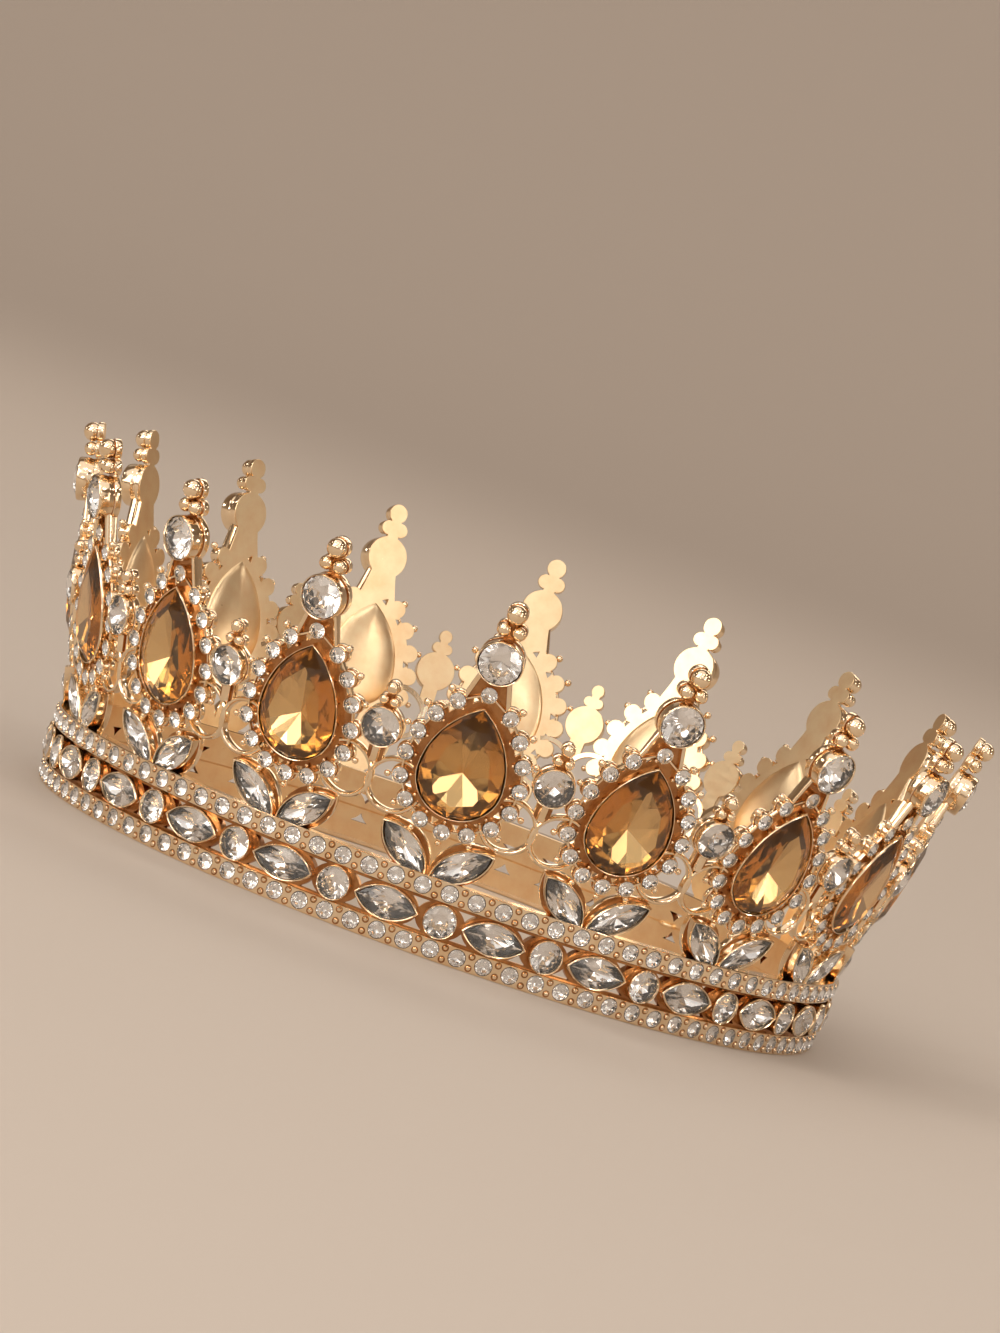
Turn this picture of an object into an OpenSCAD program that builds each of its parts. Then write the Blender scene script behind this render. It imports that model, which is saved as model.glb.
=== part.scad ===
// Full-round crown in millimetres: a jewelled band that carries sixteen pierced peaks,
// each with a teardrop stone in a halo. Z is the ring's axis, the rim rests on z = 0
// and the first peak faces -Y.

/* [Ring] */
// Outer radius of the rim at the bottom edge
rim_r = 75; // [74:0.25:76]
// Angle by which the peaks lean outwards
lean = 14.5; // [10:0.5:18]
// Thickness of the pierced sheet
sheet_t = 1.5; // [1.2:0.1:2]

/* [Band] */
// Height of the band
band_h = 14; // [13.5:0.25:15]
// Outward growth of the band from its bottom edge to its top edge
band_flare = 1; // [0.5:0.25:1.5]
// Height of each of the two flat rails
rail_h = 3.7; // [3.2:0.1:4]
// Depth of the channel between the rails
channel_t = 1.2; // [0.8:0.1:1.5]
// Radius of the round cups in the channel
band_round_r = 3.1; // [2.8:0.1:3.2]
// Length and width of the boat-shaped cups in the channel
band_boat = [12.2, 6.1]; // [5:0.1:13]
// Height of both kinds of cup above the channel
band_cup_h = 1.9; // [1.5:0.1:2.5]

/* [Teardrop] */
// Height of the teardrop's centre above the band, along the sheet
drop_h = 19.1; // [18:0.1:20]
// Radius of the teardrop's round end, with its cup
drop_r = 7.6; // [7:0.1:8]
// Distance from its centre to its point, with its cup
drop_tip = 13.6; // [12.5:0.1:14]
// Height of the teardrop's cup, from the back of the sheet
drop_cup_h = 3; // [2.6:0.1:3.6]
// Height of the dome on the back of each teardrop
dome_h = 1.2; // [0.6:0.1:1.6]

/* [Halo] */
// Distance from the teardrop's cup to the middle of the halo cups
halo_gap = 2.75; // [2.6:0.05:2.9]
// Radius of a halo cup
halo_cup_r = 1.6; // [1.4:0.05:1.7]
// Height of a halo cup, from the back of the sheet
halo_cup_h = 2.5; // [2.2:0.1:2.8]
// Radius of the grain on the outer side of a halo cup
halo_grain_r = 0.65; // [0.5:0.05:0.8]

/* [Round stones] */
// Radius of the cup at the top of a peak
top_cup_r = 4.05; // [3.8:0.05:4.2]
// Height of the top cup's centre above the band, along the sheet
top_cup_at = 41.7; // [41:0.1:42]
// Height of the top cup, from the back of the sheet
top_cup_h = 4.2; // [3.5:0.1:4.5]
// Radius of the cup between two peaks
mid_cup_r = 3.35; // [3.2:0.05:3.5]
// Height of the middle cup's centre above the band, along the sheet
mid_cup_at = 23.2; // [23:0.1:23.6]
// Height of the middle cup, from the back of the sheet
mid_cup_h = 3; // [2.6:0.1:3.6]

/* [Leaves and scrolls] */
// Length and width of a leaf cup
leaf = [12.6, 5.3]; // [5:0.1:13]
// Place of a leaf's centre, sideways and above the band
leaf_at = [5.15, 3.85]; // [3:0.05:6]
// Angle of a leaf above level
leaf_tilt = 37.5; // [35:0.5:40]
// Height of a leaf cup, from the back of the sheet
leaf_cup_h = 2.9; // [2.5:0.1:3.3]
// Radius of a scroll at the middle of its wire
scroll_r = 4.85; // [4.6:0.05:5]
// Width of the scroll's wire
scroll_w = 0.95; // [0.8:0.05:1.2]
// Height of a scroll's centre above the band, along the sheet
scroll_at = 13.4; // [13.2:0.1:13.6]

/* [Hidden] */
peaks = 16;
pitch = 360 / peaks;
pairs = 24;
band_pitch = 360 / pairs;
// Walls of the cups, the rim of sheet round each cup, the air round each stone, how deep
// a cup is sunk into its sheet, and the length of every cut that runs right out
cup_wall = 0.5;
flange = 0.15;
clear = 0.12;
inset = cup_wall + clear;
embed = 0.5;
reach = 20;

// Back of a peak's flat sheet: its distance from the axis at the band's top, and
// at a height h along the sheet. The cups between the peaks stand a little further out.
back_r = rim_r - 2.7;
foot = 0.4;
band_back = 0.15;
corner = 1;
function sheet_r(h) = back_r + h * sin(lean);

// Side arcs of the teardrop are struck from a point this far past its axis
drop_side = (pow(drop_tip, 2) - pow(drop_r, 2)) / (2 * drop_r);
drop_wall = 0.6;
drop_floor = 0.7;
drop_middle = [0, 1];
top_floor = 1.6;
mid_floor = 1;
leaf_floor = 1;
halo_low = drop_r + halo_gap;
halo_high = drop_r + drop_side + halo_gap;
halo_low_step = 24.3;
halo_high_first = 4;
halo_high_step = 13.8;
halo_top = 16.1;
halo_side = concat(
    [for (i = [1:3]) let (a = halo_low_step * i - 90) [halo_low * cos(a), halo_low * sin(a)]],
    [for (i = [0:3]) let (a = halo_high_first + halo_high_step * i)
        [halo_high * cos(a) - drop_side, halo_high * sin(a)]]);
halo = concat([[0, -halo_low], [0, halo_top]], halo_side, [for (p = halo_side) [-p.x, p.y]]);
halo_back = halo_gap - 0.3;
no_grain_row = 3;
grain_reach = halo_cup_r + 0.7;
halo_grains = [for (i = [0:len(halo_side) - 1]) if (i != no_grain_row)
    let (p = halo_side[i], c = p.y > 0 ? [-drop_side, 0] : [0, 0], d = p - c)
        p + d / norm(d) * grain_reach];

// Half the width of a peak at a height h, where its scrolls end just inside its neighbours'.
// A right scroll stands a little higher than a left one, so their edges cross cleanly.
overlap = 0.2;
function meeting(h) = sheet_r(h) * tan(pitch / 2) + overlap;
scroll_x = meeting(scroll_at) - scroll_r;
scroll_step = 0.15;
web = [6.5, 0.9];
joint_at = [9.3, 8];
joint_r = 0.6;
neck = [5.2, 11];
bridge = [2.8, 7];
fin_r = [1.3, 1.8];
fin_at = [5.7, 8.8];
fin_h = 2.2;
fin_gap = 0.06;
mid_fin_r = [0.95, 1.2];
mid_fin_at = [4.7, 7.1];
mid_fin_h = 1.7;
loops = 4;
loop_first = -37;
loop_r = 1.5;
loop_wire = 0.4;
loop_z = 7;
loop_out = 0.6;

// Names of the stones that are separate nodes, one of each for a peak
drop_names = [for (i = [1:peaks]) str("teardrop_stone_", i)];
top_names = [for (i = [1:peaks]) str("top_stone_", i)];

// Cut of the stones: how far the girdle lies below the edge of its cup, how wide the
// table is as a share of the girdle, and how high it stands above the girdle
sink = 0.4;
top_sink = 0.5;
drop_table = 0.6;
round_table = 0.55;
boat_table = 0.5;
drop_crown = 1.3;
top_crown = 1;
small_crown = 0.8;

$fn = 48;
gold = [0.86, 0.66, 0.42];
amber = [0.78, 0.5, 0.16];
crystal = [0.88, 0.9, 0.92];

// A frame on the back of a leaning sheet: X to the right, Y up the sheet, Z outwards
module on_sheet(h, out = 0) {
    translate([0, -back_r - out, band_h])
        rotate([90 + lean, 0, 0])
            translate([0, h, 0])
                children();
}

// The same frame in the channel of the band
channel_r = rim_r + band_flare / 2 - channel_t;
module on_band(turn) {
    rotate([0, 0, turn])
        translate([0, -channel_r, band_h / 2])
            rotate([90 + atan(band_flare / band_h), 0, 0])
                children();
}

module each_peak() {
    for (i = [0:peaks - 1]) rotate([0, 0, i * pitch]) children();
}

module drop_outline(grow) {
    circle(drop_r + grow);
    intersection() {
        translate([-drop_side, 0]) circle(drop_r + drop_side + grow);
        translate([drop_side, 0]) circle(drop_r + drop_side + grow);
        translate([-reach, 0]) square([2 * reach, reach]);
    }
}

// Pointed boat shape: the lens where two circles cross
module boat_outline(size, grow) {
    a = size.x / 2 + 2 * grow;
    b = size.y / 2 + grow;
    r = (a * a + b * b) / (2 * b);
    intersection() {
        translate([0, r - b]) circle(r);
        translate([0, b - r]) circle(r);
    }
}

module at_leaf(side) {
    translate([side * leaf_at.x, leaf_at.y])
        rotate(side * leaf_tilt)
            children();
}

// Outline of the flat sheet that is cast for one peak
module peak_outline() {
    translate([0, drop_h]) {
        drop_outline(halo_back);
        for (p = halo) translate(p) circle(halo_cup_r + flange);
        for (p = halo_grains, side = [-1, 1]) translate([side * p.x, p.y]) circle(halo_grain_r);
    }
    translate([-neck.x / 2, top_cup_at - neck.y]) square(neck);
    translate([0, top_cup_at]) {
        circle(top_cup_r + flange);
        finial_outline(fin_r, fin_at);
    }
    intersection() {
        for (side = [-1, 1]) translate([side * scroll_x, scroll_at + side * scroll_step]) difference() {
            circle(scroll_r + scroll_w / 2);
            circle(scroll_r - scroll_w / 2);
        }
        polygon([[-meeting(0), 0], [meeting(0), 0],
            [meeting(reach), reach], [-meeting(reach), reach]]);
    }
    for (side = [-1, 1]) {
        at_leaf(side) boat_outline(leaf, flange);
        translate([side * joint_at.x, joint_at.y]) circle(joint_r);
    }
    translate([-web.x, -foot]) square([2 * web.x, foot + web.y]);
}

module between_outline() {
    translate([0, mid_cup_at]) {
        circle(mid_cup_r + flange);
        finial_outline(mid_fin_r, mid_fin_at);
    }
    translate([-bridge.x / 2, mid_cup_at - bridge.y]) square(bridge);
}

// Two small balls side by side under a larger one
module finial_outline(r, at) {
    for (side = [-1, 1]) translate([side * (r[0] + fin_gap), at[0]]) circle(r[0] + flange);
    translate([0, at[1]]) circle(r[1] + flange);
    translate([-r[0], 0]) square([2 * r[0], at[1]]);
}

// A ball end: a short post with a domed top
module bead(r, h) {
    rotate_extrude() {
        square([r, h]);
        translate([0, h]) intersection() {
            circle(r);
            square(r);
        }
    }
}

module finial_beads(r, at, h) {
    for (side = [-1, 1]) translate([side * (r[0] + fin_gap), at[0], embed]) bead(r[0], h - embed);
    translate([0, at[1], embed]) bead(r[1], h - embed);
}

module raised(h) {
    translate([0, 0, embed]) linear_extrude(h - embed) children();
}

module peak_cups() {
    on_sheet(drop_h) {
        raised(drop_cup_h) drop_outline(0);
        raised(halo_cup_h) for (p = halo) translate(p) circle(halo_cup_r);
    }
    on_sheet(top_cup_at) {
        raised(top_cup_h) circle(top_cup_r);
        finial_beads(fin_r, fin_at, fin_h);
    }
    on_sheet(0) raised(leaf_cup_h) for (side = [-1, 1]) at_leaf(side) boat_outline(leaf, 0);
}

module peak_pockets() {
    on_sheet(drop_h) translate([0, 0, drop_floor])
        linear_extrude(reach) drop_outline(-drop_wall);
    on_sheet(top_cup_at) translate([0, 0, top_floor]) cylinder(h = reach, r = top_cup_r - cup_wall);
    on_sheet(0) translate([0, 0, leaf_floor]) linear_extrude(reach)
        for (side = [-1, 1]) at_leaf(side) boat_outline(leaf, -cup_wall);
}

// Smooth dome on the back of a teardrop
module drop_dome() {
    half = drop_tip * 0.72;
    ball = (half * half + dome_h * dome_h) / (2 * dome_h);
    inner = -0.9;
    rise = 2;
    on_sheet(drop_h) intersection() {
        translate([0, 0, -2 * dome_h]) linear_extrude(2 * dome_h + embed) drop_outline(inner);
        translate([0, rise, ball - dome_h]) sphere(ball, $fn = 96);
    }
}

module peak() {
    difference() {
        union() {
            on_sheet(0) linear_extrude(sheet_t) peak_outline();
            peak_cups();
            drop_dome();
        }
        peak_pockets();
    }
}

module between() {
    difference() {
        union() {
            on_sheet(0, corner) linear_extrude(sheet_t) between_outline();
            on_sheet(mid_cup_at, corner) {
                raised(mid_cup_h) circle(mid_cup_r);
                finial_beads(mid_fin_r, mid_fin_at, mid_fin_h);
            }
        }
        on_sheet(mid_cup_at, corner) translate([0, 0, mid_floor])
            cylinder(h = reach, r = mid_cup_r - cup_wall);
    }
}

module band_ring() {
    step = band_flare * rail_h / band_h;
    high = rim_r + band_flare;
    edge = 0.25;
    lip = [[rim_r - 2, 0.9], [rim_r - 2, 0.4], [rim_r - 1.6, 0]];
    crease = [[back_r + 0.3, band_h / 2 + 0.2], [back_r + 0.8, band_h / 2 - 0.2]];
    rotate_extrude($fn = 180) polygon(concat(
        [[rim_r - edge, 0], [rim_r, edge], [rim_r + step, rail_h],
            [rim_r + step - channel_t, rail_h], [high - step - channel_t, band_h - rail_h],
            [high - step, band_h - rail_h], [high, band_h], [back_r - band_back, band_h]],
        crease, lip));
}

// Round and boat-shaped cups by turns, in the channel of the band
module band() {
    difference() {
        union() {
            band_ring();
            for (i = [0:pairs - 1]) {
                on_band((i + 0.25) * band_pitch) translate([0, 0, -embed])
                    cylinder(h = band_cup_h + embed, r = band_round_r);
                on_band((i + 0.75) * band_pitch) translate([0, 0, -embed])
                    linear_extrude(band_cup_h + embed) boat_outline(band_boat, 0);
            }
        }
        for (i = [0:pairs - 1]) {
            on_band((i + 0.25) * band_pitch) cylinder(h = reach, r = band_round_r - cup_wall);
            on_band((i + 0.75) * band_pitch) linear_extrude(reach) boat_outline(band_boat, -cup_wall);
        }
    }
}

// Small wire loops on the inside, for a ribbon or hair pins
module ribbon_loops() {
    for (i = [0:loops - 1]) rotate([0, 0, loop_first + i * 360 / loops])
        translate([0, back_r + loop_out, loop_z])
            rotate_extrude() translate([loop_r, 0]) circle(loop_wire);
}

// All the metal is soldered into one piece
module frame() {
    color(gold) union() {
        band();
        each_peak() peak();
        rotate([0, 0, pitch / 2]) each_peak() between();
        ribbon_loops();
    }
}

// A cut stone from its girdle, which is an even number of points turning left: a table,
// kite and triangle facets above the girdle, and facets down to a point below it
module cut_stone(girdle, table, crown, depth, middle = [0, 0]) {
    n = len(girdle);
    m = n / 2;
    points = concat(
        [for (p = girdle) [p.x, p.y, 0]],
        [for (i = [0:m - 1]) let (p = middle + table * (girdle[2 * i] - middle)) [p.x, p.y, crown]],
        [[middle.x, middle.y, -depth]]);
    faces = concat(
        [[for (i = [m - 1:-1:0]) n + i]],
        [for (i = [0:m - 1]) [n + i, 2 * i, (2 * i + n - 1) % n]],
        [for (i = [0:m - 1]) [n + i, 2 * i + 1, 2 * i]],
        [for (i = [0:m - 1]) [n + (i + 1) % m, 2 * i + 1, n + i]],
        [for (j = [0:n - 1]) [j, (j + 1) % n, n + m]]);
    polyhedron(points, faces);
}

function arc(c, r, from, to, n) = [for (i = [0:n - 1]) let (a = from + (to - from) * i / n)
    c + r * [cos(a), sin(a)]];
function round_girdle(r) = arc([0, 0], r, 0, 360, 16);
function boat_girdle(a, b) = let (r = (a * a + b * b) / (2 * b), half = asin(a / r))
    concat(arc([0, b - r], r, 90 - half, 90 + half, 8), arc([0, r - b], r, 270 - half, 270 + half, 8));
function drop_girdle(grow) = let (r = drop_r + grow, side = drop_r + drop_side + grow,
        tip = acos(drop_side / side))
    concat(arc([-drop_side, 0], side, 0, tip, 5), arc([drop_side, 0], side, 180 - tip, 180, 5),
        arc([0, 0], r, 180, 360, 10));

module teardrop_stone() {
    color(amber) on_sheet(drop_h) translate([0, 0, drop_cup_h - sink])
        cut_stone(drop_girdle(-drop_wall - clear), drop_table, drop_crown,
            drop_cup_h - sink - drop_floor - clear, drop_middle);
}

module top_stone() {
    color(crystal) on_sheet(top_cup_at) translate([0, 0, top_cup_h - top_sink])
        cut_stone(round_girdle(top_cup_r - inset), round_table, top_crown,
            top_cup_h - top_sink - top_floor - clear);
}

module between_stones() {
    color(crystal) rotate([0, 0, pitch / 2]) each_peak()
        on_sheet(mid_cup_at, corner) translate([0, 0, mid_cup_h - sink])
            cut_stone(round_girdle(mid_cup_r - inset), round_table, small_crown,
                mid_cup_h - sink - mid_floor - clear);
}

module leaf_stones() {
    color(crystal) each_peak() on_sheet(0) for (side = [-1, 1])
        at_leaf(side) translate([0, 0, leaf_cup_h - sink])
            cut_stone(boat_girdle(leaf.x / 2 - 2 * inset, leaf.y / 2 - inset), boat_table,
                small_crown, leaf_cup_h - sink - leaf_floor - clear);
}

module band_stones() {
    depth = band_cup_h - sink - clear;
    color(crystal) for (i = [0:pairs - 1]) {
        on_band((i + 0.25) * band_pitch) translate([0, 0, band_cup_h - sink])
            cut_stone(round_girdle(band_round_r - inset), round_table, small_crown, depth);
        on_band((i + 0.75) * band_pitch) translate([0, 0, band_cup_h - sink])
            cut_stone(boat_girdle(band_boat.x / 2 - 2 * inset, band_boat.y / 2 - inset),
                boat_table, small_crown, depth);
    }
}

frame();
for (i = [0:peaks - 1]) {
    rotate([0, 0, i * pitch]) teardrop_stone();
    rotate([0, 0, i * pitch]) top_stone();
}
between_stones();
leaf_stones();
band_stones();
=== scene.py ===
import math

import bmesh
import bpy
import numpy as np
from mathutils import Matrix, Vector
from mathutils.geometry import delaunay_2d_cdt

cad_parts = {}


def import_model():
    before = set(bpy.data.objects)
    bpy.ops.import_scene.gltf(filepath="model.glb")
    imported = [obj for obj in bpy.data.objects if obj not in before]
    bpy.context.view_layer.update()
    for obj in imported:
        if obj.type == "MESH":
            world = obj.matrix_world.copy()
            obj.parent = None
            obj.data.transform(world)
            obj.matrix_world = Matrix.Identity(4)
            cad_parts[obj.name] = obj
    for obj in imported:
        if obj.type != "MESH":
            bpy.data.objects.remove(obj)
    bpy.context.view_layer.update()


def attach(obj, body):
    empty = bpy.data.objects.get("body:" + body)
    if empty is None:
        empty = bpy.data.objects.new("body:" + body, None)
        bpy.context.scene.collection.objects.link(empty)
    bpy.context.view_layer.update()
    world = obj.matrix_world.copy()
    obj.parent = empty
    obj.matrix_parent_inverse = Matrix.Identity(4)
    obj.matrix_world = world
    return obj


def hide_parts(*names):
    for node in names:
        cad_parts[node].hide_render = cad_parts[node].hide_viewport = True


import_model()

# A full-round crown: a jewelled band that carries sixteen pierced peaks. Sizes are in
# millimetres until a mesh is made. A peak is drawn flat, as sideways, up the sheet and
# outwards from its back, and then bent round the ring. Heights of parts that stand on a
# sheet are counted from its back.
MM = 0.001
WELD = 2e-7
PEAKS = 16
PITCH = 360 / PEAKS
PAIRS = 24
CELLS = 96
CELL = 360 / CELLS
LEAN = math.radians(14.5)
RIM_R = 75.0
BAND_H = 14.0
FLARE = 1.0
BAND_TILT = math.atan(FLARE / BAND_H)
RAIL_H = 3.7
RAIL_LOW = 0.25
RAIL_HIGH = BAND_H - 0.15
LOW_RAIL_TOP = RAIL_H - 0.1
HIGH_RAIL_FOOT = BAND_H - RAIL_H + 0.1
CHANNEL = 1.2
WELL = 2.15
DRILLED = 1.5
BACK_R = RIM_R - 2.7
SHEET = 1.5
SHEET_FRONT = 1.2
SHEET_LOW = -0.35
ROUNDNESS = 0.5
BEND_STEP = 1.5
EDGE = 0.12
SINK = 0.4

DROP_AT = 19.1
DROP_R = 7.6
DROP_TIP = 13.6
DROP_SIDE = (DROP_TIP ** 2 - DROP_R ** 2) / (2 * DROP_R)
DROP_CUP_H = 3.0
DROP_WALL = 0.55
DOME_H = 1.2
DOME_SHELL = 0.5
HALO_GAP = 2.75
HALO_TOP = 16.1
HALO_CUP_R = 1.6
CUP_WALL_R = 1.48
TOP_AT = 41.7
TOP_R = 4.05
TOP_H = 4.2
TOP_LOW_BALL = (1.34, 5.7)
TOP_LOW_BALL_R = 1.3
TOP_BALL_UP = 8.8
TOP_BALL_R = 1.8
MID_AT = 23.2
MID_R = 3.7
MID_H = 3.0
MID_OUT = 0.9
MID_LOW_BALL = (0.99, 4.7)
MID_LOW_BALL_R = 0.95
MID_BALL_UP = 7.1
MID_BALL_R = 1.2
LEAF = (12.6, 5.8)
LEAF_AT = (5.15, 3.85)
LEAF_TILT = math.radians(37.5)
LEAF_H = 2.9
LEAF_LINK = (9.25, 8.0)
LEAF_LINK_R = 0.55
PETAL = (12.9, 7.4)
SCROLL_R = 4.85
SCROLL_W = 0.95
SCROLL_AT = 13.4
SCROLL_MEET = 3
SCROLL_OVERLAP = 0.1
ROUND_R = 3.1
BOAT = (12.2, 6.1)
BAND_CUP_H = 1.9
WALL = 0.3
AIR = 0.05


# Outlines, all turning left

def circle(radius, centre=(0, 0), steps=24):
    turn = math.tau * np.arange(steps) / steps
    return np.c_[centre[0] + radius * np.cos(turn), centre[1] + radius * np.sin(turn)]


def arc(centre, radius, start, end, steps):
    turn = np.radians(start + (end - start) * np.arange(steps) / steps)
    return np.c_[centre[0] + radius * np.cos(turn), centre[1] + radius * np.sin(turn)]


def teardrop(grow, side_steps=16, low_steps=24):
    side = DROP_R + DROP_SIDE + grow
    tip = math.degrees(math.acos(DROP_SIDE / side))
    return np.vstack([
        arc((-DROP_SIDE, 0), side, 0, tip, side_steps),
        arc((DROP_SIDE, 0), side, 180 - tip, 180, side_steps),
        arc((0, 0), DROP_R + grow, 180, 360, low_steps)])


def boat(size, grow, steps=10):
    half = size[0] / 2 + 2 * grow
    beam = size[1] / 2 + grow
    radius = (half ** 2 + beam ** 2) / (2 * beam)
    swing = math.degrees(math.asin(half / radius))
    return np.vstack([
        arc((0, beam - radius), radius, 90 - swing, 90 + swing, steps),
        arc((0, radius - beam), radius, 270 - swing, 270 + swing, steps)])


# Forms

FIRST, SECOND, THIRD = 0, 1, 2


class Form:
    """Points and faces that are being put together; finish tells which of a piece's
    materials each face takes."""

    def __init__(self):
        self.points = []
        self.faces = []
        self.finish = []

    def add(self, points, faces, finish=FIRST):
        base = len(self.points)
        self.points += [tuple(p) for p in points]
        self.faces += [tuple(base + i for i in face) for face in faces]
        self.finish += list(finish) if isinstance(finish, list) else [finish] * len(faces)
        return self

    def take(self, other, change=None):
        points = np.array(other.points, float)
        self.add(change(points) if change else points, other.faces, list(other.finish))
        return self


def bridged(below, above, closed=True):
    """Faces between two rows of point numbers; a row of one point is a pole."""
    steps = max(len(below), len(above))
    faces = []
    for i in range(steps if closed else steps - 1):
        j = (i + 1) % steps
        corners = [below[i % len(below)], below[j % len(below)],
                   above[j % len(above)], above[i % len(above)]]
        faces.append(tuple(dict.fromkeys(corners)))
    return faces


def lathe(profile, sides, centre=(0, 0)):
    """Round form from (radius, height) pairs that start and end on its axis."""
    points, rows, faces = [], [], []
    for radius, height in profile:
        ring = circle(radius, centre, sides) if radius else np.array([centre], float)
        rows.append(range(len(points), len(points) + len(ring)))
        points += [(x, y, height) for x, y in ring]
    for below, above in zip(rows, rows[1:]):
        faces += bridged(below, above)
    return Form().add(points, faces)


def wall(outline, section):
    """Wall that follows an outline; section lists (grow, height) all round it."""
    points, rows = [], []
    for grow, height in section:
        ring = outline(grow)
        rows.append(range(len(points), len(points) + len(ring)))
        points += [(x, y, height) for x, y in ring]
    faces = []
    for below, above in zip(rows, rows[1:] + rows[:1]):
        faces += bridged(below, above)
    return Form().add(points, faces)


def rod(path, section):
    """Wire along an open flat path; section lists (sideways, height) all round it."""
    path = np.asarray(path, float)
    along = np.gradient(path, axis=0)
    along /= np.linalg.norm(along, axis=1)[:, None]
    aside = np.c_[along[:, 1], -along[:, 0]]
    points, rows = [], []
    for spot, out in zip(path, aside):
        rows.append(range(len(points), len(points) + len(section)))
        points += [(*(spot + out * s), h) for s, h in section]
    faces = [tuple(rows[0]), tuple(reversed(rows[-1]))]
    for below, above in zip(rows, rows[1:]):
        faces += bridged(below, above)
    return Form().add(points, faces)


def oval(width, low, high, sides):
    turn = math.tau * np.arange(sides) / sides
    middle, half = (low + high) / 2, (high - low) / 2
    return [(width / 2 * math.cos(t), middle + half * math.sin(t)) for t in turn]


def ball_end(radius, front, centre, sides=16):
    """Short waisted post with a ball at its front."""
    lift = front - radius
    cap = [(radius * math.cos(a), lift + radius * math.sin(a))
           for a in np.radians([-38, -12, 12, 36, 60])]
    foot = [(0, 0.1), (radius * 0.86, 0.1), (radius * 0.9, lift - radius * 1.1)]
    return lathe(foot + cap + [(0, lift + radius)], sides, centre)


def cut_sheet(solids, holes, lines, wells=()):
    """Flat triangles that cover the solids and leave out the holes, and the numbers of those
    that lie in a well. The lines add points that let the sheet bend."""
    loops = list(solids) + list(holes) + list(wells)
    first_hole, first_well = len(solids), len(solids) + len(holes)
    points, loop_points, edges = [], [], []
    for loop in loops:
        loop_points.append(list(range(len(points), len(points) + len(loop))))
        points += [Vector(p) for p in loop]
    for start, end in lines:
        edges.append((len(points), len(points) + 1))
        points += [Vector(start), Vector(end)]
    spots, _, triangles, _, _, within = delaunay_2d_cdt(points, edges, loop_points, 1, 1e-4)
    kept, sunk = [], set()
    for triangle, ids in zip(triangles, within):
        in_solid = any(i < first_hole for i in ids)
        in_hole = any(first_hole <= i < first_well for i in ids)
        if in_solid and not in_hole:
            if any(i >= first_well for i in ids):
                sunk.add(len(kept))
            kept.append(tuple(triangle))
    return np.array([tuple(p) for p in spots]), kept, sunk


def border(triangles):
    """Directed edges that only one triangle uses, with the sheet on their left."""
    edges = {(t[i], t[(i + 1) % 3]) for t in triangles for i in range(3)}
    return [(a, b) for a, b in edges if (b, a) not in edges]


class Corners:
    """Points of several layers over the same flat spots, made when a face first asks."""

    def __init__(self, **layers):
        self.layers = layers
        self.points = []
        self.number = {}

    def __call__(self, layer, spots):
        for i in spots:
            if (layer, i) not in self.number:
                self.number[layer, i] = len(self.points)
                self.points.append(self.layers[layer][i])
        return tuple(self.number[layer, i] for i in spots)


def thick_sheet(spots, triangles, low, high, sunk=(), floor=0.3):
    """The flat triangles as a sheet with broken edges: polished edges, a satin back and a
    front in dark gold that paints the shade between what stands on it. The sunk ones lie deeper,
    under a stone, in the same painted shade."""
    edges = border(triangles)
    push = np.zeros_like(spots)
    short = np.full(len(spots), 9.0)
    for a, b in edges:
        along = spots[b] - spots[a]
        length = max(np.linalg.norm(along), 1e-6)
        for end in (a, b):
            push[end] += np.array([along[1], -along[0]]) / length
            short[end] = min(short[end], length)
    size = np.linalg.norm(push, axis=1)
    inward = np.where(size > 0.6, 1, 0)[:, None] * push / np.maximum(size, 0.6)[:, None]
    inward *= np.minimum(EDGE, short * 0.4)[:, None]

    def layer(flat, height):
        return np.c_[flat, np.full(len(flat), height)]

    corners = Corners(front=layer(spots - inward, high), back=layer(spots - inward * 0.7, low),
                      upper=layer(spots, high - EDGE), lower=layer(spots, low + EDGE),
                      well=layer(spots, floor))
    faces, finish = [], []
    for number, triangle in enumerate(triangles):
        faces += [corners("well" if number in sunk else "front", triangle),
                  corners("back", triangle[::-1])]
        finish += [THIRD, SECOND]
    for a, b in edges:
        front, back = corners("front", (b, a)), corners("back", (a, b))
        upper, lower = corners("upper", (a, b)), corners("lower", (a, b))
        faces += [front + upper, upper[::-1] + lower, lower[::-1] + back]
        finish += [FIRST, FIRST, SECOND]
    for a, b in border([triangles[number] for number in sunk]):
        faces.append(corners("well", (b, a)) + corners("front", (a, b)))
        finish.append(THIRD)
    return Form().add(corners.points, faces, finish)


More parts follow.
